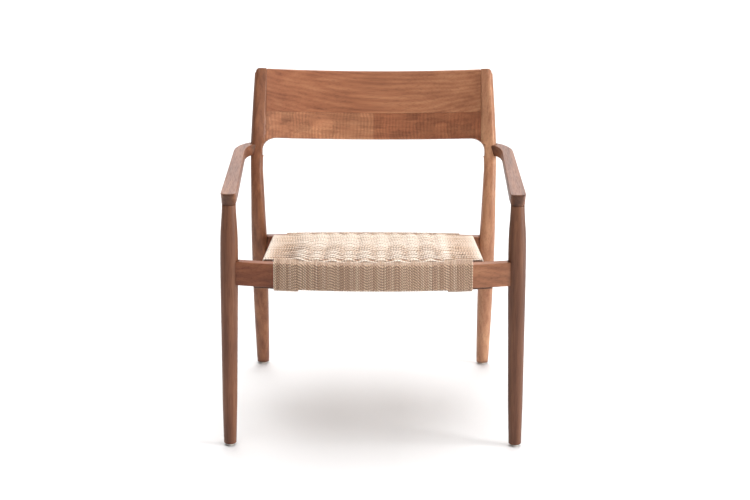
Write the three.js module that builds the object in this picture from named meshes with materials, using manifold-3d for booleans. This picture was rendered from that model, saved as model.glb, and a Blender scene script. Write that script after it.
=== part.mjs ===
// A low wooden armchair with a woven paper-cord seat.
// Millimetres, +Z up. The front faces -Y, and "left" and "right" are as seen from the front.
import * as THREE from "three";
import { mergeVertices } from "three/addons/utils/BufferGeometryUtils.js";
import Module from "manifold-3d";

const wasm = await Module();
wasm.setup();

// ---------------------------------------------------------------- sizes

const widthOverArms = 650;
const overallHeight = 745; // floor to the top of the rear posts
const armHeight = 574; // floor to the top of the arms
const seatHeight = 422.5; // floor to the top of the front rail
const seatDrop = 71; // the back rail's top is this much lower
const footSpacing = 568; // front foot to rear foot along Y, centre to centre
const glueGap = 0.3; // between pieces that touch

const arm = {
  thickness: 26,
  noseWidth: 34,
  waistWidth: 26.5,
  topArris: 2,
  underArris: 5,
  noseOverhang: 5,
  noseCrown: 4,
  noseFade: 60, // the nose's taper runs out this far behind the leg
  noseCorner: 7,
  bendLength: 74, // along Y, from where the outer side starts to turn in to the rear leg's middle
  // How the bend's two sides run: the pulls are the ends of their curves' handles.
  sweep: {
    outerPull: 30,
    endPull: 14,
    behind: 13,
    endDepth: 8,
    intoLeg: 12,
    ahead: 14,
    innerEndPull: 20,
    innerPull: 42,
    innerLead: 16,
  },
};

const frontLeg = {
  splay: 5.5, // the foot stands this much further out than the top
  footRadius: 13.9,
  bellyRadius: 19.4,
  neckRadius: 15,
  spigotRadius: 9,
  spigotLength: 18,
  footArris: 2,
};

const rearLeg = {
  inset: 35.2, // its outer face, inside the outer side of the arms
  kick: 0.3, // how fast the foot and the top run back, per millimetre of height
  bendHeight: 430,
  bendRoundness: 40,
  postHalfThickness: 12.4, // beside the boards
  topRounding: 10,
};

const rail = { depth: 53, thickness: 22, arris: 2.5 };
const frontRail = { bow: 33, forward: 3.5 }; // bow: the middle's reach forward of the ends
const backRail = { bow: 12, endInset: 37 }; // endInset: inside the rear legs' outer faces
const cornerBlock = {
  thickness: 13,
  length: 100,
  endGap: 31.6, // short of the rail's end
  topDrop: 7,
  lowDrop: 9.5,
  arris: 1.5,
};
const sideRail = { thickness: 18, inset: 54.8, drop: 1 }; // inset: inside the rear legs' outer faces
const railTenon = { thickness: 11, height: 30, reach: 22, root: 8 }; // root: inside the rail
const sideTenon = { thickness: 9, height: 26, frontReach: 18, backReach: 12, root: 12 };

const board = {
  height: 163, // both boards together, along their slope
  lowerHeight: 62,
  thickness: 20,
  endInset: 36.8, // its ends, inside the rear legs' outer faces
  hollow: 50, // depth of the curve across the back
  proud: 7.8, // its front face, in front of the post's middle
  arris: 4,
};
const underBoard = { cornerAcross: 33, cornerUp: 28, intoPost: 9, depth: 42 }; // the opening below
const spline = { thickness: 6, height: 12, endCover: 28 };
const looseTenon = { thickness: 8, length: 30, lowerHeight: 28, upperHeight: 44 };
const armTenon = {
  thickness: 8,
  height: 18,
  length: 38,
  inLeg: 8,
  turn: 0.72, // towards the front from straight out, in radians
  fromOuter: 13, // its pivot, inside the leg's outer face
  forward: 3,
};

const cord = { thickness: 3.2, panel: 7 }; // panel: warp and weft crossing
// How far each winding keeps off what it ends at.
const wrap = { frontClear: 1.5, backClear: 9, sideMargin: 5 };
const panelGap = 1;

const glide = { height: 5, radius: 8, edge: 1, pocketRadius: 4, pocketLow: 1.4, pocketHigh: 2.9 };
const nail = { headRadius: 3.6, headThickness: 0.9, shankRadius: 1.2, length: 20 };

const roundSides = 28;

// ---------------------------------------------------------------- derived places

const armBottom = armHeight - arm.thickness;
const armMiddle = armHeight - arm.thickness / 2;
const frontLegX = widthOverArms / 2 - arm.noseWidth / 2;
const frontFootX = frontLegX + frontLeg.splay;
const seatBackHeight = seatHeight - seatDrop;
const rearOuterX = widthOverArms / 2 - rearLeg.inset;
const boardHalf = rearOuterX - board.endInset;
const sideOuterX = rearOuterX - sideRail.inset;
const sideInnerX = sideOuterX - sideRail.thickness;
const frontWrapHalf = sideInnerX - wrap.frontClear;
const backWrapHalf = sideInnerX - wrap.backClear;

// The rear leg's middle line in side view: two slopes that meet in a soft bend above the seat.
const bendReach = (height) =>
  rearLeg.kick * Math.hypot(height - rearLeg.bendHeight, rearLeg.bendRoundness);
const rearLegY = (height) => footSpacing - bendReach(glide.height) + bendReach(height);

const backRailY = rearLegY(seatBackHeight - rail.depth / 2);
const seatSlope = Math.atan2(seatDrop, backRailY);
const boardRadius = (boardHalf ** 2 + board.hollow ** 2) / (2 * board.hollow);
const boardTurn = Math.asin(boardHalf / boardRadius); // the board's direction at its end
const rake = Math.atan2(
  rearLegY(overallHeight) - rearLegY(overallHeight - board.height),
  board.height,
);
const boardFootHeight = overallHeight - board.height * Math.cos(rake);
const boardFootY = rearLegY(boardFootHeight) - board.proud;

// Leaves a local frame, standing on the boards' lower front corners, with +Z up along their slope.
const backFrame = new THREE.Matrix4()
  .makeTranslation(0, boardFootY, boardFootHeight)
  .multiply(new THREE.Matrix4().makeRotationX(-rake));

// A local frame on the seat plane: +Y runs back and down along the tops of the rails.
const seatFrame = new THREE.Matrix4()
  .makeTranslation(0, 0, seatHeight)
  .multiply(new THREE.Matrix4().makeRotationX(-seatSlope));

// How far back along the seat plane an upright face at y stands, at a height off the plane.
const alongSeat = (y, off) => y / Math.cos(seatSlope) - off * Math.tan(seatSlope);

const wide = 400; // reaches past the whole chair

// ---------------------------------------------------------------- solids

function solid(geometry, matrix = new THREE.Matrix4()) {
  const bare = (geometry.index ? geometry.toNonIndexed() : geometry.clone()).applyMatrix4(matrix);
  bare.deleteAttribute("normal");
  bare.deleteAttribute("uv");
  const merged = mergeVertices(bare, 1e-3);
  const corners = new Uint32Array(merged.index.array);
  if (matrix.determinant() < 0) {
    for (let i = 0; i < corners.length; i += 3) {
      [corners[i + 1], corners[i + 2]] = [corners[i + 2], corners[i + 1]];
    }
  }
  const vertProperties = new Float32Array(merged.attributes.position.array);
  return new wasm.Manifold(new wasm.Mesh({ numProp: 3, vertProperties, triVerts: corners }));
}

function geometryOf(made) {
  const mesh = made.getMesh();
  const geometry = new THREE.BufferGeometry();
  geometry.setAttribute("position", new THREE.BufferAttribute(new Float32Array(mesh.vertProperties), 3));
  geometry.setIndex(new THREE.BufferAttribute(new Uint32Array(mesh.triVerts), 1));
  geometry.computeVertexNormals();
  return geometry;
}

const mirror = new THREE.Matrix4().makeScale(-1, 1, 1);
const mirrored = (made) => solid(geometryOf(made), mirror);

// A box from one corner to the other.
function block(low, high, matrix) {
  const size = high.map((value, i) => value - low[i]);
  const geometry = new THREE.BoxGeometry(...size);
  geometry.translate(...low.map((value, i) => value + size[i] / 2));
  return solid(geometry, matrix);
}

// A flat shape raised from one height to another, with a soft edge above and below.
function raised(shape, low, high, arris = 0, matrix = undefined) {
  const geometry = new THREE.ExtrudeGeometry(shape, {
    depth: high - low - 2 * arris,
    curveSegments: 12,
    bevelEnabled: arris > 0,
    bevelThickness: arris,
    bevelSize: arris,
    bevelOffset: -arris,
    bevelSegments: 2,
  });
  geometry.translate(0, 0, low + arris);
  return solid(geometry, matrix);
}

// The arc through (-chord, 0), (0, -bow) and (chord, 0), moved by offset towards +Y, cut at x = reach.
function arc(chord, bow, offset, reach) {
  const side = Math.sign(bow);
  const radius = (chord ** 2 + bow ** 2) / (2 * Math.abs(bow));
  const moved = radius - side * offset;
  const centreY = side * (radius - Math.abs(bow));
  const spread = Math.asin(reach / moved);
  return { centreY, radius: moved, middle: (-side * Math.PI) / 2, spread: side * spread };
}

// A strip between two edges, each { chord, bow, offset }, with straight ends at x = reach.
function strip(front, back, reach) {
  const near = arc(front.chord, front.bow, front.offset, reach);
  const far = arc(back.chord, back.bow, back.offset, reach);
  const shape = new THREE.Shape();
  const { middle: a, spread: s } = near;
  shape.absarc(0, near.centreY, near.radius, a - s, a + s, s < 0);
  const { middle: b, spread: t } = far;
  shape.absarc(0, far.centreY, far.radius, b + t, b - t, t > 0);
  return shape;
}

const barStrip = (chord, bow, from, to, reach) =>
  strip({ chord, bow, offset: from }, { chord, bow, offset: to }, reach);

const at = (x, y, z) => new THREE.Matrix4().makeTranslation(x, y, z);

// ---------------------------------------------------------------- front legs

// Turned: fullest at the rail, slim at the foot and under the arm, with a spigot that enters the arm.
function frontLegSolid(grow = 0) {
  const { footRadius, bellyRadius, neckRadius, footArris } = frontLeg;
  const belly = (share) => THREE.MathUtils.lerp(footRadius, bellyRadius, share);
  const neck = (share) => THREE.MathUtils.lerp(neckRadius, bellyRadius, share);
  const height = (share) => armBottom * share;
  const low = glide.height;
  const side = new THREE.SplineCurve([
    new THREE.Vector2(footRadius, low + footArris),
    new THREE.Vector2(belly(0.45), height(0.206)),
    new THREE.Vector2(belly(0.66), height(0.412)),
    new THREE.Vector2(belly(0.91), height(0.615)),
    new THREE.Vector2(bellyRadius, height(0.75)),
    new THREE.Vector2(neck(0.86), height(0.87)),
    new THREE.Vector2(neck(0.38), height(0.935)),
    new THREE.Vector2(neck(0.09), height(0.975)),
    new THREE.Vector2(neckRadius, armBottom - glueGap),
  ]).getPoints(18);
  const spigotTop = armBottom + frontLeg.spigotLength;
  const profile = [
    new THREE.Vector2(0, low - grow),
    new THREE.Vector2(footRadius - footArris, low - grow),
    ...side,
    new THREE.Vector2(frontLeg.spigotRadius, armBottom - glueGap),
    new THREE.Vector2(frontLeg.spigotRadius, spigotTop),
    new THREE.Vector2(0, spigotTop),
  ].map((p) => new THREE.Vector2(p.x > 0 ? p.x + grow : 0, p.y > armBottom ? p.y + grow : p.y));
  const geometry = new THREE.LatheGeometry(profile, roundSides);
  geometry.rotateX(Math.PI / 2);
  const lean = -frontLeg.splay / armBottom; // a shear, so that the foot stays level
  const place = new THREE.Matrix4().set(1, 0, lean, frontFootX, 0, 1, 0, 0, 0, 0, 1, 0, 0, 0, 0, 1);
  return solid(geometry, place);
}

// ---------------------------------------------------------------- rear legs

// Stations up the leg: height, how far the middle stands in from the outer face, half sizes across
// and along, and squareness, which is 2 for an ellipse and more for a squarer section. The post
// beside the boards turns to meet their ends.
const stationOf = ([z, inset, halfX, halfY, squareness], turn) => {
  return { z, x: rearOuterX - inset, halfX, halfY, squareness, turn };
};
const { postHalfThickness } = rearLeg;
const rearStations = [
  ...[
    [glide.height, 18.8, 14.4, 14.4, 2.1],
    [28, 18.7, 15.3, 15.4, 2.1],
    [110, 18.5, 17, 17.4, 2.2],
    [200, 18.4, 18.2, 19.4, 2.4],
    [seatBackHeight - 24, 18.6, 18.7, 21, 2.5],
    [(seatBackHeight + armBottom) / 2, 17, 16, 18.5, 2.6],
    [armBottom - 6, 14.8, 14.8, 16.5, 2.6],
  ].map((row) => stationOf(row, 0)),
  ...[
    [boardFootHeight + 4, 24.2, 23, postHalfThickness, 4],
    [boardFootHeight + 75, 27.4, 22.5, postHalfThickness, 4],
    [overallHeight + 12, 32.2, 21.5, postHalfThickness, 4],
  ].map((row) => stationOf(row, boardTurn)),
];

// One number of the stations, as a smooth curve of the share 0 to 1 up the leg.
function stationCurve(read) {
  const points = rearStations.map((s) => new THREE.Vector3(s.z, read(s), 0));
  const curve = new THREE.CatmullRomCurve3(points, false, "catmullrom", 0.5);
  return (share) => curve.getPoint(share);
}

const stationX = stationCurve((s) => s.x);
const stationHalfX = stationCurve((s) => s.halfX);
const stationHalfY = stationCurve((s) => s.halfY);
const stationTurn = stationCurve((s) => s.turn);
const stationSquareness = stationCurve((s) => s.squareness);

function rearLegBlank(grow = 0) {
  const geometry = new THREE.CylinderGeometry(1, 1, 1, roundSides, 27).rotateX(Math.PI / 2);
  const place = geometry.attributes.position;
  for (let i = 0; i < place.count; i += 1) {
    const share = Math.min(Math.max(place.getZ(i) + 0.5, 0), 1);
    const radius = Math.hypot(place.getX(i), place.getY(i));
    const angle = Math.atan2(place.getY(i), place.getX(i));
    const power = 2 / stationSquareness(share).y;
    const across = Math.sign(Math.cos(angle)) * Math.abs(Math.cos(angle)) ** power;
    const along = Math.sign(Math.sin(angle)) * Math.abs(Math.sin(angle)) ** power;
    const u = radius * across * (stationHalfX(share).y + grow);
    const v = radius * along * (stationHalfY(share).y + grow);
    const turn = stationTurn(share).y;
    const z = stationX(share).x;
    place.setXYZ(
      i,
      stationX(share).y + u * Math.cos(turn) + v * Math.sin(turn),
      rearLegY(z) - u * Math.sin(turn) + v * Math.cos(turn),
      z,
    );
  }
  return solid(geometry);
}

// ---------------------------------------------------------------- back

// The opening below the boards, with big soft corners that run on from the boards into the posts.
function underBoardCutter() {
  const { cornerAcross, cornerUp, intoPost, depth } = underBoard;
  const half = boardHalf + intoPost;
  const middle = half - cornerAcross; // of the right corner's round
  const quarter = Math.PI / 2;
  const shape = new THREE.Shape();
  shape.moveTo(-half, -depth);
  shape.lineTo(half, -depth);
  shape.lineTo(half, -cornerUp);
  shape.absellipse(middle, -cornerUp, cornerAcross, cornerUp, 0, quarter, false, 0);
  shape.lineTo(-middle, 0);
  shape.absellipse(-middle, -cornerUp, cornerAcross, cornerUp, quarter, 2 * quarter, false, 0);
  const standing = new THREE.Matrix4().makeRotationX(Math.PI / 2);
  return raised(shape, -100, 80, 0, backFrame.clone().multiply(standing));
}

const boardStrip = (from, to, reach) => barStrip(boardHalf, -board.hollow, from, to, reach);

function boardBlank() {
  const shape = boardStrip(0, board.thickness, boardHalf - glueGap / 2);
  const whole = raised(shape, -underBoard.cornerUp, board.height, board.arris, backFrame);
  return whole.subtract(underBoardCutter());
}

// Everything above or below a height on the boards' slope.
const overSlope = (height) => block([-wide, -wide, height], [wide, wide, height + wide], backFrame);
const underSlope = (height) => block([-wide, -wide, height - wide], [wide, wide, height], backFrame);

// Rounds the post's outer top corner.
function postTopCutter() {
  const radius = rearLeg.topRounding;
  const top = rearStations.at(-1);
  const outer = top.x + top.halfX * Math.cos(top.turn) + 1;
  const inner = outer - radius;
  const low = board.height - radius;
  const corner = block([inner, -wide, low], [outer + radius, wide, wide], backFrame);
  const round = new THREE.CylinderGeometry(radius, radius, 2 * wide, 2 * roundSides);
  round.translate(inner, 0, low);
  return corner.subtract(solid(round, backFrame));
}

function splineSolid(grow = 0) {
  const middle = board.thickness / 2;
  const half = spline.thickness / 2 + grow;
  const shape = boardStrip(middle - half, middle + half, boardHalf - spline.endCover + grow);
  const reach = spline.height / 2 + grow;
  return raised(shape, board.lowerHeight - reach, board.lowerHeight + reach, 0, backFrame);
}

// A bar with round edges, lying along +X, centred on the origin.
function roundEdgedBar(length, thickness, height, grow = 0) {
  const radius = thickness / 2 + grow;
  const half = height / 2 - thickness / 2;
  const shape = new THREE.Shape();
  shape.absarc(half, 0, radius, -Math.PI / 2, Math.PI / 2, false);
  shape.absarc(-half, 0, radius, Math.PI / 2, (3 * Math.PI) / 2, false);
  const geometry = new THREE.ExtrudeGeometry(shape, {
    depth: length + 2 * grow,
    curveSegments: 4,
    bevelEnabled: false,
  });
  geometry.translate(0, 0, -length / 2 - grow);
  return geometry.rotateX(Math.PI / 2).rotateZ(Math.PI / 2).rotateX(Math.PI / 2);
}

// Loose tenons join each board to the post, along the board's direction at its end.
function boardTenon(centre, height, grow = 0) {
  const bar = roundEdgedBar(looseTenon.length, looseTenon.thickness, height, grow);
  const middle = board.thickness / 2 / Math.cos(boardTurn);
  bar.rotateZ(-boardTurn).translate(boardHalf, middle, centre);
  return solid(bar, backFrame);
}

const lowerTenon = (grow) => boardTenon(board.lowerHeight / 2 - 1, looseTenon.lowerHeight, grow);
const upperTenon = (grow) =>
  boardTenon((board.lowerHeight + board.height) / 2, looseTenon.upperHeight, grow);

// ---------------------------------------------------------------- rails

const frontChord = frontLegX - frontLeg.bellyRadius; // where the front rail meets the legs
const backChord = rearOuterX - backRail.endInset;
const halfRail = rail.thickness / 2;
const frontRailLow = seatHeight - rail.depth;
const backRailLow = seatBackHeight - rail.depth;
const blockBack = halfRail + cornerBlock.thickness;
const blockLow = frontRailLow - cornerBlock.lowDrop;
const blockTop = seatHeight - cornerBlock.topDrop;
const blockOuterX = frontChord - cornerBlock.endGap;
const blockInnerX = blockOuterX - cornerBlock.length;

const frontStrip = (from, to, reach) => barStrip(frontChord, frontRail.bow, from, to, reach);
const backStrip = (from, to, reach) => barStrip(backChord, -backRail.bow, from, to, reach);
const frontPlace = at(0, -frontRail.forward, 0);
const backPlace = at(0, backRailY, 0);

// The tenon on a rail's right end; y is its middle, low the rail's underside.
function endTenon(chord, y, low, grow) {
  const half = railTenon.thickness / 2 + grow;
  const middle = low + rail.depth / 2;
  const reach = railTenon.height / 2 + grow;
  return block(
    [chord - railTenon.root, y - half, middle - reach],
    [chord + railTenon.reach + grow, y + half, middle + reach],
  );
}

const frontRailTenon = (grow = 0) => endTenon(frontChord, -frontRail.forward, frontRailLow, grow);
const backRailTenon = (grow = 0) => endTenon(backChord, backRailY, backRailLow, grow);

const sideRailX = (sideOuterX + sideInnerX) / 2;
const sideTop = -sideRail.drop;
const sideLow = sideTop - rail.depth;
// Where the side rail's ends meet the corner block and the back rail, on the seat plane.
const edgeY = (chord, bow, offset, x) => {
  const edge = arc(chord, bow, offset, x);
  return edge.centreY - Math.sign(bow) * edge.radius * Math.cos(edge.spread);
};
const sideFrontY = edgeY(frontChord, frontRail.bow, blockBack, sideRailX) - frontRail.forward;
const sideBackY = edgeY(backChord, -backRail.bow, -halfRail, sideRailX) + backRailY;

function sideTenons(grow = 0) {
  const half = sideTenon.thickness / 2 + grow;
  const middle = (sideTop + sideLow) / 2;
  const reach = sideTenon.height / 2 + grow;
  const low = middle - reach;
  const high = middle + reach;
  const front = alongSeat(sideFrontY, middle);
  const back = alongSeat(sideBackY, middle);
  const frontTenon = block(
    [sideRailX - half, front - sideTenon.frontReach - grow, low],
    [sideRailX + half, front + sideTenon.root, high],
    seatFrame,
  );
  const backTenon = block(
    [sideRailX - half, back - sideTenon.root, low],
    [sideRailX + half, back + sideTenon.backReach + grow, high],
    seatFrame,
  );
  return frontTenon.add(backTenon);
}

const tallStrip = (shape, place) => raised(shape, seatBackHeight - 120, seatHeight + 60, 0, place);

function sideRailSolid() {
  const spare = 25; // cut away again at each end
  const shape = new THREE.Shape();
  shape.moveTo(sideInnerX, sideFrontY - spare);
  shape.lineTo(sideOuterX, sideFrontY - spare);
  shape.lineTo(sideOuterX, sideBackY + spare);
  shape.lineTo(sideInnerX, sideBackY + spare);
  shape.closePath();
  const bar = raised(shape, sideLow, sideTop, rail.arris, seatFrame);
  const frontEnd = tallStrip(frontStrip(-90, blockBack + glueGap, frontChord), frontPlace);
  const backEnd = tallStrip(backStrip(-halfRail - glueGap, 90, backChord), backPlace);
  return bar.subtract(frontEnd).subtract(backEnd).add(sideTenons());
}

// ---------------------------------------------------------------- cord

// Cord wound round the front rail, and round the corner blocks too where they stand behind it.
function frontWrapFill(grow, endGrow) {
  const reach = frontWrapHalf + endGrow;
  const middle = raised(
    frontStrip(-halfRail - grow, halfRail + grow, reach),
    frontRailLow - grow,
    seatHeight + grow,
    0,
    frontPlace,
  );
  const corners = raised(
    frontStrip(halfRail - grow, blockBack + grow, reach),
    blockLow - grow,
    seatHeight + grow,
    0,
    frontPlace,
  );
  const between = blockInnerX - grow;
  const gap = block([-between, -wide, 0], [between, wide, overallHeight]);
  return middle.add(corners.subtract(gap));
}

const cordInner = glueGap; // off the wood
const cordOuter = glueGap + cord.thickness;
const past = 5; // a cutter's reach past the end that it opens

const frontWrapSolid = () => frontWrapFill(cordOuter, 0).subtract(frontWrapFill(cordInner, past));

function backWrapFill(grow, endGrow) {
  const shape = backStrip(-halfRail - grow, halfRail + grow, backWrapHalf + endGrow);
  return raised(shape, backRailLow - grow, seatBackHeight + grow, 0, backPlace);
}

const backWrapSolid = () => backWrapFill(cordOuter, 0).subtract(backWrapFill(cordInner, past));

function sideWrapSolid() {
  const halfThickness = sideRail.thickness / 2;
  const outerX = sideOuterX + cord.thickness;
  const frontFace = edgeY(frontChord, frontRail.bow, blockBack, outerX) - frontRail.forward;
  const backFace = edgeY(backChord, -backRail.bow, -halfRail, outerX) + backRailY;
  const front = alongSeat(frontFace, sideLow - cord.thickness) + wrap.sideMargin;
  const back = alongSeat(backFace, sideTop + cord.thickness) - wrap.sideMargin;
  const ring = (grow, extra) =>
    block(
      [sideRailX - halfThickness - grow, front - extra, sideLow - grow],
      [sideRailX + halfThickness + grow, back + extra, sideTop + grow],
      seatFrame,
    );
  return ring(cordOuter, 0).subtract(ring(cordInner, past));
}

// The woven panel that fills the frame, two crossing layers of cord thick.
function panelSolid() {
  const edge = cordOuter + panelGap;
  const reach = sideInnerX - edge;
  const near = arc(frontChord, frontRail.bow, blockBack + edge, reach);
  const far = arc(backChord, -backRail.bow, -halfRail - edge, reach);
  const nearY = near.centreY - frontRail.forward;
  const farY = far.centreY + backRailY / Math.cos(seatSlope);
  const shape = new THREE.Shape();
  const { middle: a, spread: s } = near;
  shape.absarc(0, nearY, near.radius, a - s, a + s, false);
  const { middle: b, spread: t } = far;
  shape.absarc(0, farY, far.radius, b + t, b - t, false);
  return raised(shape, cordOuter - cord.panel, cordOuter, 0, seatFrame);
}

// ---------------------------------------------------------------- arms

// Seen from above: straight along its outer side, then a soft bend in to the rear leg.
function armBlank() {
  const postY = rearLegY(armMiddle);
  const outer = widthOverArms / 2;
  const noseInner = outer - arm.noseWidth;
  const waistInner = outer - arm.waistWidth;
  const front = -frontLeg.neckRadius - arm.noseOverhang;
  const { noseCorner: corner, noseCrown, bendLength, sweep } = arm;
  const bendStart = postY - bendLength;
  const inLeg = rearOuterX - sweep.intoLeg; // the arm's end, trimmed to the leg afterwards
  const shape = new THREE.Shape();
  shape.moveTo(noseInner + corner, front);
  shape.quadraticCurveTo((noseInner + outer) / 2, front - noseCrown, outer - corner, front);
  shape.quadraticCurveTo(outer, front, outer, front + corner);
  shape.lineTo(outer, bendStart);
  shape.bezierCurveTo(
    outer,
    postY - sweep.outerPull,
    rearOuterX + sweep.endPull,
    postY + sweep.behind,
    inLeg + sweep.endDepth,
    postY + sweep.behind,
  );
  shape.lineTo(inLeg, postY);
  shape.lineTo(inLeg, postY - sweep.ahead);
  shape.bezierCurveTo(
    rearOuterX,
    postY - sweep.innerEndPull,
    waistInner,
    postY - sweep.innerPull,
    waistInner,
    bendStart - sweep.innerLead,
  );
  shape.lineTo(noseInner, 20);
  shape.lineTo(noseInner, front + corner);
  shape.quadraticCurveTo(noseInner, front, noseInner + corner, front);
  const top = raised(shape, armBottom - arm.thickness, armHeight, arm.topArris);
  const under = raised(shape, armBottom, armHeight + arm.thickness, arm.underArris);
  return top.intersect(under).subtract(noseCutter());
}

// What is outside the nose's form: round and flush with the leg's neck below, swelling to the arm's
// own outline at the top, and fading out along the arm's sides.
function noseCutter() {
  const neck = frontLeg.neckRadius + 0.5;
  const { thickness, noseWidth, noseOverhang, noseCrown, noseFade } = arm;
  const fullness = 2 / 3.4; // of the front's outline at the top, which is fuller than a round
  const form = new THREE.CylinderGeometry(1, 1, 1, 2 * roundSides, 9).rotateX(Math.PI / 2);
  const points = form.attributes.position;
  for (let i = 0; i < points.count; i += 1) {
    const up = points.getZ(i) + 0.5;
    const swell = up ** 1.6;
    const radius = Math.hypot(points.getX(i), points.getY(i)); // 0 in the middle of an end face
    const angle = Math.atan2(points.getY(i), points.getX(i));
    const [c, s] = [Math.cos(angle), Math.sin(angle)];
    const half = THREE.MathUtils.lerp(neck, noseWidth / 2 + 0.3, swell);
    const z = THREE.MathUtils.lerp(-1, thickness + 1, up);
    if (s <= 0) {
      const power = THREE.MathUtils.lerp(1, fullness, swell);
      const x = Math.sign(c) * Math.abs(c) ** power * half;
      const reach = neck + swell * (noseOverhang + noseCrown);
      points.setXYZ(i, radius * x, -radius * Math.abs(s) ** power * reach, z);
    } else {
      const square = Math.max(Math.abs(c), s);
      const back = s / square;
      const sides = THREE.MathUtils.lerp(half, noseWidth / 2 + 2, back);
      points.setXYZ(i, (radius * c * sides) / square, radius * back * noseFade, z);
    }
  }
  const place = at(frontLegX, 0, armBottom);
  const around = block([-noseWidth, -noseWidth, 0], [noseWidth, noseFade, thickness], place);
  return around.subtract(solid(form, place));
}

// A loose tenon joins the arm's end to the rear leg, along the direction in which the arm arrives.
function armTenonSolid(grow = 0) {
  const { length, thickness, height, inLeg, turn, fromOuter, forward } = armTenon;
  const bar = roundEdgedBar(length, thickness, height, grow);
  bar.translate(length / 2 - inLeg, 0, 0).rotateZ(-turn);
  bar.translate(rearOuterX - fromOuter, rearLegY(armMiddle) - forward, armMiddle);
  return solid(bar);
}

// ---------------------------------------------------------------- feet

function glideSolid() {
  const { height, radius, edge, pocketRadius, pocketLow, pocketHigh } = glide;
  const hole = nail.shankRadius + glueGap;
  const outline = [
    [0, 0],
    [radius - edge, 0],
    [radius, edge],
    [radius, height - glueGap],
    [hole, height - glueGap],
    [hole, pocketHigh],
    [pocketRadius, pocketHigh],
    [pocketRadius, pocketLow],
    [0, pocketLow],
  ].map(([r, z]) => new THREE.Vector2(r, z));
  return new THREE.LatheGeometry(outline, roundSides).rotateX(Math.PI / 2);
}

function nailGeometry(grow = 0) {
  const headLow = glide.pocketLow + glueGap;
  const headHigh = headLow + nail.headThickness;
  const top = headLow + nail.length + grow;
  const outline = [
    [0, headLow],
    [nail.headRadius, headLow],
    [nail.headRadius, headHigh],
    [nail.shankRadius + grow, headHigh],
    [nail.shankRadius + grow, top],
    [0, top],
  ].map(([r, z]) => new THREE.Vector2(r, z));
  return new THREE.LatheGeometry(outline, 10).rotateX(Math.PI / 2);
}

// ---------------------------------------------------------------- joints between the pieces

const frontFoot = at(frontFootX, 0, 0);
const rearFoot = at(rearStations[0].x, rearLegY(glide.height), 0);

const frontLegPiece = frontLegSolid()
  .subtract(frontRailTenon(glueGap))
  .subtract(solid(nailGeometry(glueGap), frontFoot));

// Where the boards stand: the posts stop at their ends.
const betweenPosts = block(
  [0, 0, boardFootHeight - 60],
  [boardHalf + glueGap / 2, 2 * footSpacing, overallHeight + 60],
);
const rearLegPiece = rearLegBlank()
  .subtract(underBoardCutter())
  .subtract(betweenPosts)
  .subtract(overSlope(board.height))
  .subtract(postTopCutter())
  .subtract(backRailTenon(glueGap))
  .subtract(lowerTenon(glueGap))
  .subtract(upperTenon(glueGap))
  .subtract(armTenonSolid(glueGap))
  .subtract(solid(nailGeometry(glueGap), rearFoot));

const armPiece = armBlank()
  .subtract(frontLegSolid(glueGap))
  .subtract(rearLegBlank(glueGap))
  .subtract(armTenonSolid(glueGap));

const frontLegGrown = frontLegSolid(glueGap);
const frontRailShape = frontStrip(-halfRail, halfRail, frontLegX);
const frontRailPiece = raised(frontRailShape, frontRailLow, seatHeight, rail.arris, frontPlace)
  .subtract(frontLegGrown)
  .subtract(mirrored(frontLegGrown))
  .add(frontRailTenon())
  .add(mirrored(frontRailTenon()))
  .subtract(sideTenons(glueGap))
  .subtract(mirrored(sideTenons(glueGap)));

// Glued in each front corner behind the rail; the side rail's tenon passes through it.
function cornerBlockSolid() {
  const shape = frontStrip(halfRail + glueGap, blockBack, blockOuterX);
  const inside = block([-wide, -wide, 0], [blockInnerX, wide, overallHeight]);
  return raised(shape, blockLow, blockTop, cornerBlock.arris, frontPlace)
    .subtract(inside)
    .subtract(sideTenons(glueGap));
}

const rearLegGrown = rearLegBlank(glueGap);
const backRailShape = backStrip(-halfRail, halfRail, rearStations[0].x); // trimmed to the legs below
const backRailPiece = raised(backRailShape, backRailLow, seatBackHeight, rail.arris, backPlace)
  .subtract(rearLegGrown)
  .subtract(mirrored(rearLegGrown))
  .add(backRailTenon())
  .add(mirrored(backRailTenon()))
  .subtract(sideTenons(glueGap))
  .subtract(mirrored(sideTenons(glueGap)));

const boardPiece = boardBlank()
  .subtract(splineSolid(glueGap))
  .subtract(lowerTenon(glueGap))
  .subtract(mirrored(lowerTenon(glueGap)))
  .subtract(upperTenon(glueGap))
  .subtract(mirrored(upperTenon(glueGap)));
const upperBoardPiece = boardPiece.subtract(underSlope(board.lowerHeight + glueGap / 2));
const lowerBoardPiece = boardPiece.subtract(overSlope(board.lowerHeight - glueGap / 2));

// ---------------------------------------------------------------- materials

const material = (color, roughness, metalness = 0) =>
  new THREE.MeshStandardMaterial({ color, roughness, metalness });
const teak = material(0x9a6748, 0.5);
const beech = material(0xc9a87c, 0.7);
const paperCord = material(0xd8c3a5, 0.9);
const nylon = material(0xd9d5cc, 0.45);
const steel = material(0x9a9c9e, 0.35, 1);

// ---------------------------------------------------------------- assembly

const chair = new THREE.Group();

function addPiece(name, geometry, finish, parent, matrix) {
  const mesh = new THREE.Mesh(geometry, finish);
  mesh.name = name;
  if (matrix) mesh.applyMatrix4(matrix);
  parent.add(mesh);
}

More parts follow.
